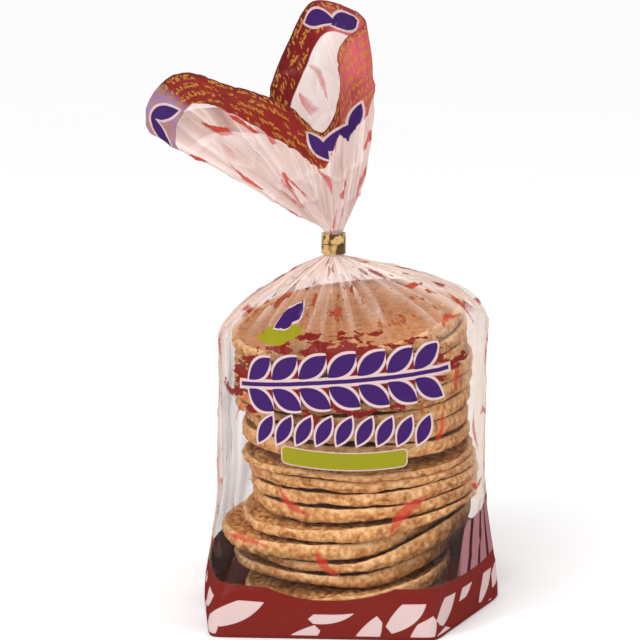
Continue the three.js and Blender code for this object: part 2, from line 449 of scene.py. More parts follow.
def rgb(red, green, blue):
    """Linear colour from display values of 0 to 255."""
    def linear(value):
        value = value / 255
        return value / 12.92 if value <= 0.04045 else ((value + 0.055) / 1.055) ** 2.4
    return (linear(red), linear(green), linear(blue), 1.0)


class Value:
    """A number in a material's nodes, with arithmetic that adds Math nodes."""

    def __init__(self, tree, socket):
        self.tree = tree
        self.socket = socket

    def do(self, operation, *others, clamp=False):
        inputs = dict(enumerate((self, *others)))
        node = add(self.tree, "Math", inputs, operation=operation, use_clamp=clamp)
        return Value(self.tree, node.outputs[0])

    def __add__(self, other):
        return self.do("ADD", other)

    def __sub__(self, other):
        return self.do("SUBTRACT", other)

    def __mul__(self, other):
        return self.do("MULTIPLY", other)

    def size(self):
        return self.do("ABSOLUTE")

    def lowest(self, other):
        return self.do("MINIMUM", other)

    def highest(self, other):
        return self.do("MAXIMUM", other)

    def times_plus(self, factor, term, clamp=False):
        return self.do("MULTIPLY_ADD", factor, term, clamp=clamp)

    def inside(self, soft=0.35):
        """1 where the distance is below 0, 0 where it is above, with an edge of the given width."""
        return self.times_plus(-1 / soft, 0.5, clamp=True)

    def above(self, level, soft):
        """0 below the level, 1 above it, with an edge of the given width."""
        return self.times_plus(1 / soft, 0.5 - level / soft, clamp=True)

    def away_from(self, middle, reach, soft):
        """0 within reach of the middle, 1 beyond it."""
        return (self - middle).size().above(reach, soft)


def new_material(name):
    material = bpy.data.materials.new(name)
    material.use_nodes = True
    material.node_tree.nodes.clear()
    return material, material.node_tree


def add(tree, kind, inputs=(), **settings):
    """A new node with its settings, and with numbers or links at its inputs."""
    node = tree.nodes.new("ShaderNode" + kind)
    for name, value in settings.items():
        setattr(node, name, value)
    for name, value in dict(inputs).items():
        socket = value.socket if isinstance(value, Value) else value
        if isinstance(socket, bpy.types.NodeSocket):
            tree.links.new(socket, node.inputs[name])
        else:
            node.inputs[name].default_value = value
    return node


def to_surface(tree, shader):
    end = add(tree, "OutputMaterial")
    tree.links.new(shader.outputs[0], end.inputs["Surface"])


def attribute(tree, name):
    node = add(tree, "Attribute", attribute_name=name)
    return Value(tree, node.outputs["Fac"])


def object_place(tree):
    return add(tree, "TexCoord").outputs["Object"]


def flat_place(x, y):
    return add(x.tree, "CombineXYZ", {"X": x, "Y": y}).outputs[0]


def noise_value(tree, vector, scale, detail=2, roughness=0.5):
    node = add(tree, "TexNoise", {
        "Vector": vector, "Scale": scale, "Detail": detail, "Roughness": roughness})
    return Value(tree, node.outputs["Fac"])


def bump_normal(height, strength, distance):
    inputs = {"Height": height, "Strength": strength, "Distance": distance}
    return add(height.tree, "Bump", inputs).outputs[0]


def colour_mix(share, low, high):
    return add(share.tree, "Mix", {0: share, 6: low, 7: high}, data_type="RGBA").outputs[2]


# Shapes of the print, each as the distance to its outline in millimetres on the film;
# a size is half of the length and half of the width

STEM_HALF_WIDTH = 0.8
STEM_PAST_LAST = 0.9


def leaning(right, up, degrees):
    """Coordinates along and across a direction."""
    cosine, sine = math.cos(math.radians(degrees)), math.sin(math.radians(degrees))
    along = right.times_plus(cosine, up * sine)
    across = up.times_plus(cosine, right * -sine)
    return along, across


def turned(u, v, middle, degrees):
    """Coordinates along and across a direction, from a middle point."""
    return leaning(u - middle[0], v - middle[1], degrees)


def repeated(along, pitch, each_side):
    """Place along a row, from the middle of its nearest item."""
    number = (along * (1 / pitch)).do("ROUND").highest(-each_side).lowest(each_side)
    return number.times_plus(-pitch, along)


def pointed(along, across, half_length, half_width):
    """A shape with two pointed ends."""
    share = along * (1 / half_length)
    width = (share * share).times_plus(-half_width, half_width)
    return across.size() - width


def row_of_grains(u, v, middle, degrees, pitch, each_side, size, lean, from_stem=None):
    """A row of leaning grains, or pairs of them on both sides of a stem."""
    along, across = turned(u, v, middle, degrees)
    off = across if from_stem is None else across.size() - from_stem
    grains = pointed(*leaning(repeated(along, pitch, each_side), off, lean), *size)
    if from_stem is None:
        return grains
    ends = along.size() - (each_side + STEM_PAST_LAST) * pitch
    return grains.lowest((across.size() - STEM_HALF_WIDTH).highest(ends))


def strip(u, v, middle, size, bend, corner):
    """A strip with a slight curve and round corners."""
    along = u - middle[0]
    across = (along * along).times_plus(-bend, v - middle[1])
    past_end = (along.size() - (size[0] - corner)).highest(0.0)
    past_side = (across.size() - (size[1] - corner)).highest(0.0)
    return (past_end * past_end + past_side * past_side).do("SQRT") - corner


def stroke(u, v, middle, degrees, size, bend):
    """A bent stroke with two pointed ends."""
    along, across = turned(u, v, middle, degrees)
    return pointed(along, (along * along).times_plus(-bend, across), *size)


def nearest_of(shapes):
    nearest = shapes[0]
    for shape in shapes[1:]:
        nearest = nearest.lowest(shape)
    return nearest


FAR_AWAY = 20


def scattered(u, v, cell, size, share, bend, turn=(0, 360)):
    """Bent strokes in a share of the cells, turned by random angles in the given range."""
    tree = u.tree
    flat = flat_place(u, v)
    cells = add(tree, "TexVoronoi", {
        "Vector": flat, "Scale": 1 / cell, "Randomness": 0.75}, voronoi_dimensions="2D")
    offset = add(tree, "VectorMath", {
        0: flat, 1: cells.outputs["Position"]}, operation="SUBTRACT")
    chance = add(tree, "SeparateColor", {"Color": cells.outputs["Color"]})
    low, high = (math.radians(-degrees) for degrees in turn)
    angle = Value(tree, chance.outputs[0]).times_plus(high - low, low)
    turned_back = add(tree, "VectorRotate", {
        "Vector": offset.outputs[0], "Angle": angle}, rotation_type="Z_AXIS")
    parts = add(tree, "SeparateXYZ", {"Vector": turned_back.outputs[0]})
    along, across = Value(tree, parts.outputs[0]), Value(tree, parts.outputs[1])
    shape = pointed(along, (along * along).times_plus(-bend, across), *size)
    return shape + Value(tree, chance.outputs[1]).above(share, soft=0.01) * FAR_AWAY


# Film materials

MOUTH_COLOUR = rgb(222, 193, 185)
SIDE_COLOUR = rgb(222, 178, 152)
PALE_PAINTED_HIGHLIGHT = rgb(230, 205, 187)
WARM_COLOUR = rgb(178, 118, 82)
# Painted highlight colour that whitens the film along its creases
CREASE_PAINTED_HIGHLIGHT = rgb(244, 234, 230)
RED = rgb(114, 31, 25)
BRIGHT_RED = rgb(134, 35, 27)
DARK_RED = rgb(116, 22, 22)
PAINTED_SHADE_RIM_RED = rgb(78, 24, 18)
SMEAR_RED = rgb(150, 46, 42)
PAINTED_SHADE_MAROON = rgb(58, 22, 20)
STROKE_RED = rgb(180, 48, 36)
MOUTH_STROKE = rgb(196, 72, 58)
PINK_RED = rgb(190, 86, 92)
PURPLE = rgb(58, 26, 92)
SIDE_PURPLE = rgb(158, 106, 112)
MAUVE = rgb(150, 116, 144)
PRINT_WHITE = rgb(204, 178, 176)
LIME = rgb(142, 136, 26)
YELLOW = rgb(176, 120, 46)
FULL_COVER = 0.995
STROKE_COVER = 0.75
CREASE_HIGHLIGHT_COVER = 0.35
MOST_HAZE = 0.95
INK_EDGE = 2
SHINE_SHARE = 0.25
MOST_SHINE = 0.012


def film_shader(tree, layers, own_colour):
    """Clear film with layers of print, each a mask, a colour and how well it covers."""
    crease_highlight = attribute(tree, "film_crease_highlight")
    # Painted highlight on the creases: the film there is whiter and covers more of what is behind it
    cover = crease_highlight.times_plus(CREASE_HIGHLIGHT_COVER, attribute(tree, "film_haze")).lowest(MOST_HAZE)
    colour = colour_mix(crease_highlight, own_colour, CREASE_PAINTED_HIGHLIGHT)
    for mask, ink, strength in layers:
        colour = colour_mix(mask.do("MULTIPLY", INK_EDGE, clamp=True), colour, ink)
        cover = cover.highest(mask * strength)
    bumps = noise_value(tree, object_place(tree), scale=160, detail=3, roughness=0.6)
    normal = bump_normal(bumps, strength=0.35, distance=0.0006)
    edge = add(tree, "LayerWeight", {"Blend": 0.30, "Normal": normal})
    shine = (Value(tree, edge.outputs["Fresnel"]) * SHINE_SHARE).lowest(MOST_SHINE)
    clear = add(tree, "BsdfTransparent", {"Color": (0.985, 0.98, 0.975, 1)})
    ink = add(tree, "BsdfPrincipled", {
        "Base Color": colour, "Roughness": 0.6, "Specular IOR Level": 0.0, "Normal": normal})
    sheet = add(tree, "MixShader", {0: cover, 1: clear.outputs[0], 2: ink.outputs[0]})
    gloss = add(tree, "BsdfAnisotropic", {
        "Color": (1, 1, 1, 1), "Roughness": 0.10, "Normal": normal})
    to_surface(tree, add(tree, "MixShader", {0: shine, 1: sheet.outputs[0], 2: gloss.outputs[0]}))


def wall_colour(u):
    """The film's own colour on the wall, with a paler painted highlight on the right, warmer at the left
    of the back.
    """
    painted_highlight_right = u.above(44, soft=24) - u.above(140, soft=40)
    warm = u.above(-150, soft=30) - u.above(-94, soft=16)
    return colour_mix(warm, colour_mix(painted_highlight_right, SIDE_COLOUR, PALE_PAINTED_HIGHLIGHT), WARM_COLOUR)


def ragged_edge(tree):
    """Millimetres to add to a distance, so that a stroke's edge is ragged."""
    return noise_value(tree, object_place(tree), scale=260, roughness=0.6).times_plus(2.2, -1.1)


# Loose strokes on the front: place, turn, size and bend
FRONT_STROKES = [
    ((-18.5, 55.6), -42, (9.5, 1.5), 0.03),
    ((29.2, 53.6), 46, (12, 2.3), -0.018),
    ((-4.2, 31.5), -50, (7.6, 1.5), 0.03),
    ((-36, 39.8), -8, (10, 1.2), -0.012),
    ((46, 88), 70, (8, 1), 0.02),
    ((-44, 96), 62, (7, 0.9), -0.02),
]
FRONT_WIDTH = 54
STROKE_EDGE = 1.4


def loose_strokes(u, v):
    """Strokes placed one by one on the front and scattered elsewhere."""
    ragged = ragged_edge(u.tree)
    placed = nearest_of([stroke(u, v, *each) for each in FRONT_STROKES]) + ragged
    others = scattered(u, v, cell=26, size=(9, 1.4), share=0.7, bend=0.03)
    others = (others + ragged).inside(STROKE_EDGE) * u.size().above(FRONT_WIDTH, soft=0.1)
    return placed.inside(STROKE_EDGE).highest(others)


BAND_HEIGHT = 15
BAND_CURVE = 0.009
MOST_BAND_HEIGHT = 20.2
BAND_WIGGLE = 3
# The side field: where it starts and ends round the bag, and how far it stands above the band
SIDE_START = 56
SIDE_END = 126
LEFT_FIELD = 0.5
RIGHT_FIELD = 17.5
CORNER_WIDTH = 4
CORNER_SLOPE = 1.7
STRIPE_PITCH = 13
STRIPE_HALF_WIDTH = 4.4
LEAF_SHIFT = 9
LEAF_MARGIN = 6.2
LOWEST_LEAF = 1.8


def film_low():
    """Bottom of the bag: a red band with leaves in white print, and a striped field above it on the
    right, its red print given a deep maroon painted shade.
    """
    material, tree = new_material("film_low")
    u, v = attribute(tree, "film_u"), attribute(tree, "film_v")
    wiggle = noise_value(tree, object_place(tree), scale=28) * BAND_WIGGLE
    front_top = (u * u).times_plus(BAND_CURVE, BAND_HEIGHT).lowest(MOST_BAND_HEIGHT) + wiggle
    side = u.size().above(SIDE_START, soft=4) - u.size().above(SIDE_END, soft=2)
    corner_rise = (u - SIDE_START).highest(0.0).lowest(CORNER_WIDTH) * CORNER_SLOPE
    field = u.above(0, soft=1).times_plus(RIGHT_FIELD - LEFT_FIELD, LEFT_FIELD)
    side_top = side * field + front_top + side * corner_rise
    # Side field: red print coloured deep maroon as painted shade, as if seen in shadow
    side_field_painted_shade = (v - side_top).inside(0.8) * side
    red = (v - front_top).inside(0.5)
    leaves = scattered(u, v + LEAF_SHIFT, cell=19, size=(13, 4), share=0.9, bend=0.006, turn=(20, 65))
    leaf = leaves.inside(0.4) * (v - front_top + LEAF_MARGIN).inside(0.4) * v.above(LOWEST_LEAF, soft=0.4)
    leaf = leaf * (u.size() - SIDE_END).inside()
    in_pitch = (u * (1 / STRIPE_PITCH)).do("FRACT").times_plus(STRIPE_PITCH, -STRIPE_PITCH / 2)
    stripe = (in_pitch.size() - STRIPE_HALF_WIDTH).inside(1.2) * side_field_painted_shade
    film_shader(tree, [
        (loose_strokes(u, v), STROKE_RED, STROKE_COVER),
        (side_field_painted_shade, PAINTED_SHADE_MAROON, FULL_COVER),
        (stripe, SIDE_PURPLE, FULL_COVER),
        (red, RED, FULL_COVER),
        (leaf, PRINT_WHITE, FULL_COVER),
    ], wall_colour(u))
    return material


SPLASH_LEVEL = 0.567
SPLASH_FADE = 0.008
SMEAR_LEVEL = 0.60
LOWEST_SMEAR = 133


def front_splash(u, v):
    """A ragged field behind the ear of wheat."""
    flat = flat_place(u * 0.05, v * 0.11)
    ragged = noise_value(u.tree, flat, scale=1.6, detail=3, roughness=0.6)
    zone = pointed(*turned(u, v, middle=(3, 110), degrees=6), half_length=66, half_width=22)
    return (zone.times_plus(SPLASH_FADE, SPLASH_LEVEL) - ragged).inside(0.03) * zone.inside(2)


def film_high():
    """Wall and shoulder: an ear of wheat, a row of seeds, a strip, two leaves and loose strokes."""
    material, tree = new_material("film_high")
    u, v = attribute(tree, "film_u"), attribute(tree, "film_v")
    ear = row_of_grains(u, v, middle=(3.6, 108.8), degrees=5.1, pitch=12.4, each_side=3,
                        size=(7.8, 3.7), lean=36, from_stem=6.6)
    seeds = row_of_grains(u, v, middle=(4, 87.6), degrees=1, pitch=8.5, each_side=4,
                          size=(6.6, 2.7), lean=62)
    plain_strip = strip(u, v, middle=(4, 74.6), size=(26, 3.4), bend=0.0036, corner=1.8)
    smear = noise_value(tree, flat_place(u * 0.11, v * 0.055), scale=1, detail=3, roughness=0.6)
    smear = smear.above(SMEAR_LEVEL, soft=0.05) * v.above(LOWEST_SMEAR, soft=6)
    leaf = stroke(u, v, middle=(-26, 127.6), degrees=14, size=(13, 5.2), bend=0.010)
    bud = stroke(u, v, middle=(-24, 138.5), degrees=62, size=(10, 5.6), bend=0.012)
    layers = [
        (loose_strokes(u, v), STROKE_RED, STROKE_COVER),
        (smear, SMEAR_RED, 0.6),
        (front_splash(u, v), DARK_RED, 0.95),
        (leaf.inside(), LIME, FULL_COVER),
    ]
    # Shapes with a white outline of the given width
    for shape, outline, ink in ((bud, 1.2, PURPLE), (ear, 1.3, PURPLE), (seeds, 1.1, PURPLE),
                                (plain_strip, 0.5, LIME)):
        layers.append(((shape - outline).inside(), PRINT_WHITE, FULL_COVER))
        layers.append((shape.inside(), ink, FULL_COVER))
    film_shader(tree, layers, wall_colour(u))
    return material


# Leaves on the band at the mouth: place round the rim and down from it, turn, size and bend
MOUTH_LEAVES = [
    ((76, 8), 24, (9, 3.8), 0),
    ((89, 7), -24, (8, 3.4), 0),
    ((-92, 8), 40, (8, 3), 0),
    ((-104, 7), -30, (8, 3), 0),
]
# Leaves low on the mouth's near side: place to the right and up, turn, size and bend
NEAR_LEAVES = [
    ((-2, 204), 32, (10, 3.8), 0.012),
    ((-11, 201), -52, (7, 2.8), 0),
    ((3.5, 212), 70, (6.5, 2.4), 0),
]
LEAF_OUTLINE = 1.1
# Width of the band along the rim, and how much wider it is on the near side and on the right
MOUTH_BAND = 13
NEAR_BAND = 8
RIGHT_BAND = 22
MOUTH_WIGGLE = 4
MARK_ROW = 4.6
MARK_HEIGHT = 2.6
MARK_PITCH = 2.2


def mouth_marks(u, rim):
    """Small bent grains in rows along the rim, with gaps."""
    rows = rim * (1 / MARK_ROW)
    in_row = rows.do("FRACT").times_plus(MARK_ROW, -MARK_ROW / 2).size()
    groups = flat_place(u * 0.09, rows.do("FLOOR") * 7.3)
    present = noise_value(u.tree, groups, scale=1, detail=1).above(0.42, soft=0.02)
    mark = scattered(u, rim, MARK_PITCH, size=(1.8, 0.45), share=0.9, bend=0.10)
    return mark.inside(0.5) * present * (in_row - MARK_HEIGHT / 2).inside(0.5)


def mouth_red(u, rim):
    """Red of the mouth's band: pink on the right, darker at the back, with painted shade along the rim,
    mauve at the left.
    """
    tone = noise_value(u.tree, object_place(u.tree), scale=22)
    red = colour_mix(u.away_from(52, reach=34, soft=6), PINK_RED, BRIGHT_RED)
    red = colour_mix(u.away_from(118, reach=24, soft=6), DARK_RED, red)
    red = colour_mix(tone.above(0.54, soft=0.1) * 0.45, red, DARK_RED)
    # Painted shade: darker brown-red along the rim
    red = colour_mix((rim - 2.5).inside(4) * 0.55, red, PAINTED_SHADE_RIM_RED)
    return colour_mix(u.away_from(-98, reach=16, soft=5), MAUVE, red)


def film_mouth():
    """The flared mouth: loose strokes, and a band along the rim with small grains and leaves."""
    material, tree = new_material("film_mouth")
    u, rim = attribute(tree, "film_u"), attribute(tree, "film_rim")
    place = object_place(tree)
    wiggle = noise_value(tree, place, scale=40) * MOUTH_WIGGLE
    near = u.away_from(-38, reach=32, soft=16).times_plus(-NEAR_BAND, MOUTH_BAND + NEAR_BAND)
    right = u.away_from(46, reach=20, soft=22).times_plus(-RIGHT_BAND, RIGHT_BAND)
    band = (rim - near - right - wiggle).inside(0.5)
    split = add(tree, "SeparateXYZ", {"Vector": place})
    across, back, up = (Value(tree, split.outputs[k]) * (1 / MM) for k in range(3))
    near_leaves = nearest_of([stroke(across, up, *each) for each in NEAR_LEAVES]).highest(back)
    leaves = nearest_of([stroke(u, rim, *each) for each in MOUTH_LEAVES] + [near_leaves])
    strokes = scattered(u, rim, cell=22, size=(8, 1.9), share=0.65, bend=0.03)
    strokes = (strokes + ragged_edge(tree) * 1.6).inside(1.8)
    film_shader(tree, [
        (strokes, MOUTH_STROKE, 0.7),
        (band, mouth_red(u, rim), FULL_COVER),
        (mouth_marks(u, rim) * band, YELLOW, FULL_COVER),
        ((leaves - LEAF_OUTLINE).inside() * band, PRINT_WHITE, FULL_COVER),
        (leaves.inside() * band, PURPLE, FULL_COVER),
    ], MOUTH_COLOUR)
    return material


# The film

LOW_ZONE = 52


def set_film_u(mesh, grid, in_mouth, face_column):
    """Distance round the bag from its front for each corner, taken at the rim for the mouth."""
    starts, ends = around_lengths(grid[BASE_ROWS + WALL_ROWS // 2])
    rim_starts, rim_ends = around_lengths(grid[-1])
    start = np.where(in_mouth, rim_starts[face_column], starts[face_column])
    end = np.where(in_mouth, rim_ends[face_column], ends[face_column])
    corners = np.stack([start, start, end, end], -1).ravel()
    spoke_corners = np.stack([starts, ends, starts], -1).ravel()
    set_values(mesh, "film_u", "CORNER", np.r_[corners, spoke_corners])


def make_film():
    angle, grid, place = film_grid()
    height, to_rim = flat_lengths(grid)
    lift, painted_highlight = wrinkles(angle, grid, place, height, to_rim)
    haze = haze_field(angle, place, height, to_rim)
    points = grid + surface_normals(grid) * lift[..., None]
    points[..., 2] = np.maximum(points[..., 2], 0)
    rows = len(points)
    centre = rows * AROUND
    spokes = [(i, (i + 1) % AROUND, centre) for i in range(AROUND)]
    vertices = np.vstack([points.reshape(-1, 3), [[0, 0, BASE_RISE]]])
    piece = new_piece("bag_film", vertices, grid_faces(rows, AROUND).tolist() + spokes)
    mesh = piece.data
    # Fields on the film, each with its value at the middle of the bottom; one holds the painted highlight
    # on the creases
    fields = {
        "film_haze": (haze, BASE_HAZE), "film_crease_highlight": (painted_highlight, 0),
        "film_rim": (to_rim, 400), "film_v": (height, -60),
    }
    for name, (values, at_centre) in fields.items():
        set_values(mesh, name, "POINT", np.r_[values.ravel(), at_centre])
    face_row = np.repeat(np.arange(rows - 1), AROUND)
    face_column = np.tile(np.arange(AROUND), rows - 1)
    in_mouth = place[face_row, 0] >= NECK
    set_film_u(mesh, grid, in_mouth, face_column)
    for material in (film_low(), film_high(), film_mouth()):
        mesh.materials.append(material)
    low = height[face_row + 1, face_column] < LOW_ZONE
    number = np.where(in_mouth, 2, np.where(low, 0, 1))
    number = np.r_[number, np.zeros(AROUND, int)]
    mesh.polygons.foreach_set("material_index", number.astype(np.int32))
    return piece


# Round crispbreads

# Each round, from the lowest: height of its top at the front, rise to the right, how far its right
# side curls up, middle and half width from left to right, and how far back it lies
ROUNDS = [
    (5, 0.015, 1.5, 1, 44.4, -6),
    (10, 0.02, 4, 0.5, 44.8, -7),
    (15.6, 0.03, 8, 1.5, 45.5, -9.5),
    (22.4, 0, 12, -1, 49, 0),
    (28.5, 0.03, 16.6, 4.5, 50.5, 0.5),
    (37, 0.05, 8, -5, 50.5, -0.6),
    (44.6, 0.05, 4, 5.3, 51.5, -1.2),
    (51.9, 0.05, 1.5, 8, 49.4, 0.6),
    (58.8, 0.05, 0.6, 7.2, 49.8, 0.6),
    (65.2, 0.042, 0, 6.5, 50, 0),
    (70.8, 0.042, 0, 4.9, 50.6, -1.5),
    (79.3, -0.008, 0, 3.4, 50.4, 1.8),
    (86.4, 0.02, 0, 4, 49, 0.4),
    (93.7, 0.05, 0, 2.5, 51, -0.5),
    (100.6, 0.07, 0, 2.4, 52, 0),
    (107.1, 0.088, 0, 2.4, 52, 0.3),
    (113.6, 0.102, 0, 1.6, 50.8, -0.3),
    (120, 0.116, 0, 1.4, 50.8, 0.2),
    (126.8, 0.13, 0, 0.2, 51, 0.8),
]
TOP_ROUND = ROUND_COUNT - 1
# Rounds that sag towards a side: the side's direction and how far the edge hangs down
SAGS = {
    0: [(-154, 1.2)],
    1: [(-154, 3.6)],
    2: [(-154, 5)],
    6: [(-146, 2)],
    9: [(-44, 1.2)],
    10: [(-150, 2.2), (-44, 4)],
}
SAG_RANGE = (19.0, 50.0)
FRONT_X = 4
TOP_BACK_RISE = 0.15
LEVEL_ROUNDS = 12
BEND_SEED = 100
BEND = 0.5
SMALL_BEND = 0.3
CURL_RANGE = (2.0, 60.0)
MOST_THICKNESS = 7
LEAST_THICKNESS = 3
# Rounds of another thickness, on their left and on their right
OTHER_THICKNESS = {3: (4.4, 7.0), 4: (7.0, 8.6)}
THICKNESS_RANGE = (-10, 25)
GAP_SEED = 150
GAP = 1.25
GAP_RIGHT = 0.35
GAP_RANGE = (8, 36)
SMALL_GAP_SHARE = 0.6
LEAST_GAP = 0.12
LOWEST_BREAD = 0.8
FILM_CLEARANCE = 0.7
FIT_STEPS = 36
FIT_REACH = 0.7


def flat_top(number, x, y):
    """Height of a round's upper side before it sags."""
    level, slope, curl, middle_x, half_width, middle_y = ROUNDS[number]
    near_edge = np.minimum(((x - middle_x) ** 2 + (y - middle_y) ** 2) / half_width ** 2, 1)
    curled = curl * near_edge * smooth_step(x, *CURL_RANGE)
    back = TOP_BACK_RISE * max(number - LEVEL_ROUNDS, 0) / (TOP_ROUND - LEVEL_ROUNDS)
    bend = Noise(BEND_SEED + number)
    waves = BEND * sheet_noise(bend, x, y, size=34, layer=0.5)
    waves = waves + SMALL_BEND * sheet_noise(bend, x, y, size=11, layer=3.5)
    return level + slope * (x - FRONT_X) + curled + back * y + waves


def round_top(number, x, y):
    top = flat_top(number, x, y)
    for degrees, drop in SAGS.get(number, []):
        towards = x * math.cos(math.radians(degrees)) + y * math.sin(math.radians(degrees))
        top = top - drop * smooth_step(towards, *SAG_RANGE)
    return top


def round_bottom(number, x, y):
    """Height of a round's lower side, with a gap that comes and goes above the round below."""
    top = round_top(number, x, y)
    if number == 0:
        return np.maximum(top - MOST_THICKNESS, LOWEST_BREAD)
    swell = Noise(GAP_SEED + number)
    change = sheet_noise(swell, x, y, size=15, layer=0.5)
    change = change + SMALL_GAP_SHARE * sheet_noise(swell, x, y, size=6, layer=4.5)
    gap = mix(GAP, GAP_RIGHT, smooth_step(x, *GAP_RANGE)) * (1 + change)
    wanted = flat_top(number - 1, x, y) + np.maximum(gap, LEAST_GAP)
    left, right = OTHER_THICKNESS.get(number, (MOST_THICKNESS, MOST_THICKNESS))
    most = mix(left, right, smooth_step(x, *THICKNESS_RANGE))
    bottom = np.maximum(top - most, np.minimum(wanted, top - LEAST_THICKNESS))
    return np.maximum(bottom, round_top(number - 1, x, y) + LEAST_GAP)


def fit_in_film(points):
    """Draws points in so that they stay inside the film."""
    x, y, z = points.T
    angle = np.arctan2(y, x)
    limit = wall_radius(angle, z)
    above = z > edge_height(angle)
    last_radius, last_height = shoulder_profile(angle, 0.0)
    for t in np.linspace(0, FIT_REACH, FIT_STEPS)[1:]:
        next_radius, next_height = shoulder_profile(angle, t)
        here = above & (z >= last_height) & (z < next_height)
        share = (z - last_height) / np.maximum(next_height - last_height, TINY)
        limit = np.where(here, mix(last_radius, next_radius, share) + NECK_X * t * np.cos(angle), limit)
        last_radius, last_height = next_radius, next_height
    factor = np.minimum(1, (limit - FILM_CLEARANCE) / np.maximum(np.hypot(x, y), TINY))
    points[:, :2] *= factor[:, None]
    return points


# Rings of a round from the middle of its lower side to its upper side:
# inset from the edge, share of the thickness, and height above that; the first three insets are shares
LOWER_FACE = [(1, 0, 0.9), (0.7, 0, 0.9), (0.4, 0, 0.8)]
EDGE_RINGS = [
    (12, 0, 0.6), (7, 0, 0.45), (4.6, 0, 0.2), (3, 0, 0), (1.9, 0, 0.05), (1.2, 0.05, 0.05),
    (0.7, 0.14, 0), (0.35, 0.24, 0), (0.12, 0.34, 0), (0, 0.44, 0), (0, 0.55, 0), (0.06, 0.66, 0),
    (0.2, 0.77, 0), (0.5, 0.88, 0), (0.95, 0.97, 0), (1.5, 1, 0.05), (2, 1, -0.12), (2.5, 1, -0.5),
    (3.1, 1, -0.9), (4.2, 1, -1.15),
]
RIM_INSET = 2.6
SMALLEST_RING = 0.002
# Rounds whose upper side shows, which have more rings there; all but the top one are coarse
OPEN_FACES = (2, 5, 6, 10, TOP_ROUND)
COARSE_FACES = OPEN_FACES[:-1]
OPEN_FACE_RINGS = 60
FACE_RINGS = 10
COLUMNS = 360
FACE_DEPTH = -1.2
FACE_SAG = -0.4
FACE_CROWDING = 1.7
OUTLINE_SEED = 400
FACE_SEED = 500
EDGE_SEED = 600
COARSE_GRAIN = 0.8
FLAT_GRAIN = 0.2
HOLLOW = 0.4
UNDERSIDE_RELIEF = -0.3
UNDERSIDE_TONE = -0.2
TOP_TONE = 0.22
TOP_CONTRAST = 0.3
GROOVE_LEVEL = 0.42
GROOVE_WIDTH = 0.16
GROOVE_WANDER = 0.15
GROOVE_DEPTH = 0.4
LAYER_DEPTH = 0.3
CRUMB_DEPTH = 0.3


def round_angles():
    return -2 * math.pi * np.arange(COLUMNS) / COLUMNS


def round_ring(number, wavy, inset, share, offset):
    middle_x, half_width, middle_y = ROUNDS[number][3:]
    angle = round_angles()
    across = np.maximum(1 - inset / half_width, SMALLEST_RING) * wavy
    x = middle_x + half_width * across * np.cos(angle)
    y = middle_y + half_width * across * np.sin(angle)
    z = mix(round_bottom(number, x, y), round_top(number, x, y), share) + offset
    return np.stack([x, y, z], -1)


def round_rings(number, face_rings):
    """Rings of points over a round, and for each point 1 on the rim and its share of the thickness."""
    half_width = ROUNDS[number][4]
    shape, angle = Noise(OUTLINE_SEED + number), round_angles()
    wavy = 1 + 0.014 * round_noise(shape, angle, count=1.6, z=0.3)
    wavy = wavy + 0.008 * round_noise(shape, angle, count=6, z=4.3)
    wavy = wavy - 0.008 * crease_lines(round_noise(shape, angle, count=9, z=9.1), sharpness=3)
    rim_width = 1 + 0.25 * round_noise(shape, angle, count=3, z=2)
    rings = [(inset * half_width, share, offset, 0.0) for inset, share, offset in LOWER_FACE]
    for inset, share, offset in EDGE_RINGS:
        rings.append((inset * rim_width, share, offset, 1.0 if inset < RIM_INSET else 0.0))
    edge_end = EDGE_RINGS[-1][0] * rim_width
    for inwards in np.linspace(0, 1, face_rings + 1)[1:] ** FACE_CROWDING:
        rings.append((mix(edge_end, half_width, inwards), 1, FACE_DEPTH + FACE_SAG * inwards, 0.0))
    points = np.stack([round_ring(number, wavy, *each[:3]) for each in rings])
    columns = np.ones(COLUMNS)
    rim = np.array([each[3] for each in rings])[:, None] * columns
    level = np.array([each[1] for each in rings])[:, None] * columns
    return points, rim, level


def rough_faces(number, points, rim, level):
    """Raises rough bran on the two faces of a round, and gives the faces' tone: random patches, with
    painted light on the lumps and painted shade in the hollows.
    """
    rough = Noise(FACE_SEED + number)
    x, y = points[..., 0], points[..., 1]
    upper = level > 0.5
    grains = sheet_noise(rough, x, y, size=2.4, layer=number)
    hollow = sheet_noise(rough, x, y, size=9, layer=number + 9.0) * HOLLOW
    patches = sheet_noise(rough, x, y, size=8, layer=number + 30.0)
    lumps = grains * (COARSE_GRAIN if number in COARSE_FACES else FLAT_GRAIN)
    points[..., 2] += (1 - rim) * np.where(upper, 1.0, UNDERSIDE_RELIEF) * (lumps + hollow)
    # Tone: random patches, plus painted light on the raised lumps and painted shade in the hollows
    tone = np.where(upper, 0.5 + 0.25 * patches + 0.6 * grains + 0.3 * hollow, UNDERSIDE_TONE)
    if number == TOP_ROUND:
        tone = TOP_TONE + TOP_CONTRAST * tone
    return tone


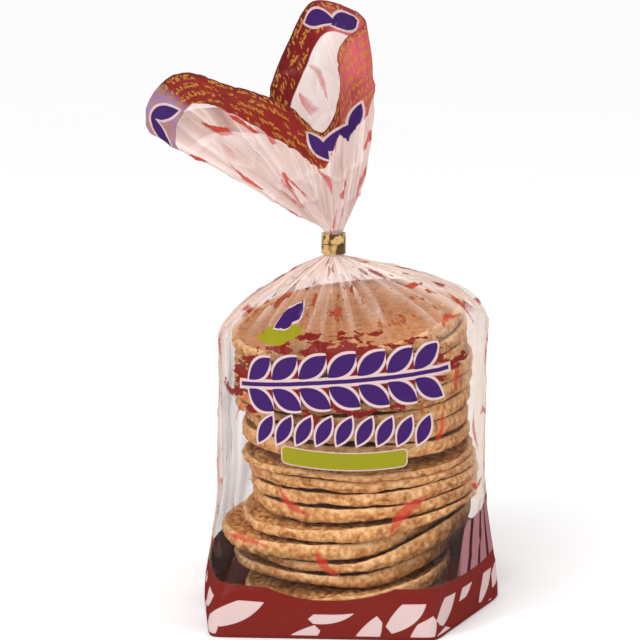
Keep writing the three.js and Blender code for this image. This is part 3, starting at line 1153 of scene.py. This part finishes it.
def crumbly_edge(number, points, rim, level):
    """Gives a round's edge layers, crumbs and a groove that comes and goes, and gives the edge's tone,
    with painted light and shade in it.
    """
    pits, angle = Noise(EDGE_SEED + number), round_angles()
    around = np.broadcast_to(angle * ROUNDS[number][4], level.shape)
    crumbs = pits(around / 2.0, level * 2.6, number + 3.0)
    layers = pits(around / 6.0, level * 2.0, number) * LAYER_DEPTH + crumbs * CRUMB_DEPTH
    groove_at = GROOVE_LEVEL + GROOVE_WANDER * pits(around / 14, 0.5, number + 12.0)
    groove = np.clip(1 - np.abs(level - groove_at) / GROOVE_WIDTH, 0, 1)
    groove = groove * smooth_step(pits(around / 9, 0.5, number + 15.0), 0.0, 0.6)
    out = rim * (layers - GROOVE_DEPTH * groove)
    points[..., 0] += out * np.cos(angle)
    points[..., 1] += out * np.sin(angle)
    ripples = pits(around / 5.0, points[..., 0] / 9, number + 6.0) * 0.2
    ripples = ripples + pits(around / 2.2, level, number + 8.0) * 0.16
    points[..., 2] += rim * ripples
    # Darker lower down, partly toasting and partly painted shade, with a paler upper lip as painted light
    tone = 0.52 + 0.22 * (level - 0.5) + 0.26 * smooth_step(level, 0.8, 1.0)
    tone = tone + 0.22 * pits(around / 13, level, number + 20.0)
    tone = tone + 0.26 * pits(around / 4.2, level * 1.6, number + 24.0)
    # Paler on the crumbs as painted light, darker in the groove as painted shade
    return tone + 0.30 * crumbs - 0.35 * groove


def make_round(number, material):
    points, rim, level = round_rings(number, OPEN_FACE_RINGS if number in OPEN_FACES else FACE_RINGS)
    face_tone_and_painted_light = rough_faces(number, points, rim, level)
    edge_tone_and_painted_light = crumbly_edge(number, points, rim, level)
    tone = np.where(rim > 0.5, edge_tone_and_painted_light, face_tone_and_painted_light)
    flat = fit_in_film(points.reshape(-1, 3))
    total = len(flat)
    vertices = np.vstack([flat, flat[:COLUMNS].mean(0), flat[-COLUMNS:].mean(0)])
    faces = grid_faces(len(points), COLUMNS).tolist()
    faces += [(i, (i + 1) % COLUMNS, total) for i in range(COLUMNS)]
    last = total - COLUMNS
    faces += [(last + (i + 1) % COLUMNS, last + i, total + 1) for i in range(COLUMNS)]
    piece = new_piece(f"crispbread_{number + 1:02d}", vertices, faces)
    set_values(piece.data, "bread_rim", "POINT", np.r_[rim.ravel(), 0, 0])
    # The tone field holds the bread's random tone together with painted light and painted shade
    set_values(piece.data, "bread_tone_and_painted_light", "POINT", np.r_[tone.ravel(), 0.5, 0.5])
    piece.data.materials.append(material)
    return piece


RIM_PALE = rgb(230, 186, 136)
RIM_TAN = rgb(200, 142, 86)
RIM_BROWN = rgb(146, 88, 44)
FACE_PALE = rgb(240, 188, 128)
FACE_TAN = rgb(206, 138, 76)
FACE_BROWN = rgb(128, 72, 38)
FLECK = rgb(84, 46, 26)
PLAIN_SHARE = 0.76
FACE_FLECK = 0.8
RIM_FLECK = 0.3


def three_colours(share, low, middle, high):
    lower = colour_mix(share.times_plus(2.0, 0.0, clamp=True), low, middle)
    return colour_mix(share.times_plus(2.0, -1.0, clamp=True), lower, high)


def bread_material():
    material, tree = new_material("crispbread")
    place = object_place(tree)
    rim, tone = attribute(tree, "bread_rim"), attribute(tree, "bread_tone_and_painted_light")
    small = noise_value(tree, place, scale=480, detail=3, roughness=0.6)
    blotch = noise_value(tree, place, scale=260)
    # tone brings in painted light on lumps, lip and crumbs and painted shade in hollows, lower edges and
    # grooves
    varied = (small * 1.4 + blotch - 1.2).times_plus(1.2, tone)
    rim_colour = three_colours(varied, RIM_BROWN, RIM_TAN, RIM_PALE)
    face_colour = three_colours(blotch.times_plus(0.5, tone - 0.25), FACE_BROWN, FACE_TAN, FACE_PALE)
    bran = add(tree, "TexVoronoi", {"Vector": place, "Scale": 420.0})
    spots = Value(tree, bran.outputs["Distance"]).times_plus(-5.0, 1.9, clamp=True)
    pick = add(tree, "SeparateColor", {"Color": bran.outputs["Color"]})
    fleck = spots * Value(tree, pick.outputs[0]).above(PLAIN_SHARE, soft=0.05)
    face_colour = colour_mix(fleck * FACE_FLECK, face_colour, FLECK)
    rim_colour = colour_mix(fleck * RIM_FLECK, rim_colour, RIM_BROWN)
    edge = (rim + blotch * 0.5).above(0.7, soft=0.3)
    normal = bump_normal(small * 0.6 + blotch, strength=rim.times_plus(0.25, 0.08), distance=0.0008)
    body = add(tree, "BsdfPrincipled", {
        "Base Color": colour_mix(edge, face_colour, rim_colour),
        "Roughness": small.times_plus(0.2, 0.72), "Specular IOR Level": 0.2, "Normal": normal})
    to_surface(tree, body)
    return material


def make_rounds():
    material = bread_material()
    return [make_round(number, material) for number in range(ROUND_COUNT)]


# Gold tie

GOLD = rgb(214, 172, 112)
GOLD_PAINTED_DARK_REFLECTION = rgb(58, 36, 20)


def tie_material():
    material, tree = new_material("tie_gold")
    place = object_place(tree)
    worn = noise_value(tree, place, scale=400, detail=3, roughness=0.6)
    fold_bumps_and_painted_reflection = noise_value(tree, place, scale=230, detail=1)
    # Painted dark reflection: dark patches on the gold where this noise is high; the same noise also
    # gives the bumps
    colour = colour_mix(fold_bumps_and_painted_reflection.above(0.52, soft=0.08) * 0.9, GOLD, GOLD_PAINTED_DARK_REFLECTION)
    normal = bump_normal(worn + fold_bumps_and_painted_reflection, strength=0.6, distance=0.0006)
    body = add(tree, "BsdfPrincipled", {
        "Base Color": colour, "Metallic": 1.0, "Roughness": worn.times_plus(0.2, 0.1), "Normal": normal})
    to_surface(tree, body)
    return material


# Floor, light and camera

FLOOR_HALF = 30
FLOOR_TONES = ((0.93, 0.93, 0.93, 1), (0.95, 0.95, 0.95, 1))
WORLD_LIGHT = 0.72
KEY_LIGHT = 1.4
# Narrow lamps for the film's highlights: place, width and height, power
LAMPS = {
    "soft_left": ((-0.7, -0.7, 0.8), (0.03, 0.6), 2.2),
    "soft_right": ((0.8, -0.5, 0.6), (0.03, 0.6), 1.6),
    "soft_top": ((0.1, 0.2, 1.1), (0.4, 0.03), 1.2),
}
LAMP_AIM = (0, 0, 0.13)
CAMERA_PLACE = (0.08679, -0.89589, 0.3014)
CAMERA_DOWN = 11.17
CAMERA_TURN = 6.3
CAMERA_LENS = 118.55


def make_stage():
    corners = [(x * FLOOR_HALF, y * FLOOR_HALF, 0) for x, y in ((-1, -1), (1, -1), (1, 1), (-1, 1))]
    mesh = bpy.data.meshes.new("floor")
    mesh.from_pydata(corners, [], [(0, 1, 2, 3)])
    floor = new_object("floor", mesh)
    material, tree = new_material("floor_white")
    colour = colour_mix(noise_value(tree, object_place(tree), scale=3), *FLOOR_TONES)
    to_surface(tree, add(tree, "BsdfPrincipled", {
        "Base Color": colour, "Roughness": 0.8, "Specular IOR Level": 0.0}))
    mesh.materials.append(material)


def make_lights():
    world = bpy.data.worlds.new("studio")
    world.use_nodes = True
    background = world.node_tree.nodes["Background"]
    background.inputs["Color"].default_value = (1, 1, 1, 1)
    background.inputs["Strength"].default_value = WORLD_LIGHT
    bpy.context.scene.world = world
    sun = bpy.data.lights.new("key", "SUN")
    sun.energy = KEY_LIGHT
    sun.angle = math.radians(50)
    key = new_object("key", sun)
    key.rotation_euler = (math.radians(46), 0, math.radians(-22))
    for name, (spot, size, power) in LAMPS.items():
        light = bpy.data.lights.new(name, "AREA")
        light.shape = "RECTANGLE"
        light.size, light.size_y = size
        light.energy = power
        lamp = new_object(name, light)
        lamp.location = spot
        aim = np.array(LAMP_AIM) - np.array(spot)
        yaw = math.atan2(-aim[0], aim[1])
        pitch = math.atan2(aim[2], math.hypot(aim[0], aim[1]))
        lamp.rotation_euler = (math.pi / 2 + pitch, 0, yaw)


def make_camera():
    camera = bpy.data.cameras.new("camera")
    camera.lens = CAMERA_LENS
    camera.sensor_width = 36.0
    camera.clip_end = 100.0
    holder = new_object("camera", camera)
    holder.location = CAMERA_PLACE
    holder.rotation_euler = (math.radians(90 - CAMERA_DOWN), 0, math.radians(CAMERA_TURN))
    bpy.context.scene.camera = holder


make_camera()
make_stage()
make_lights()
bpy.context.scene.view_settings.view_transform = "Standard"

film = make_film()
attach(film, "root")
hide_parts("bag")

for bread in make_rounds():
    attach(bread, "root")
    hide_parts("bag")

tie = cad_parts["tie"]
tie.data.materials.clear()
tie.data.materials.append(tie_material())
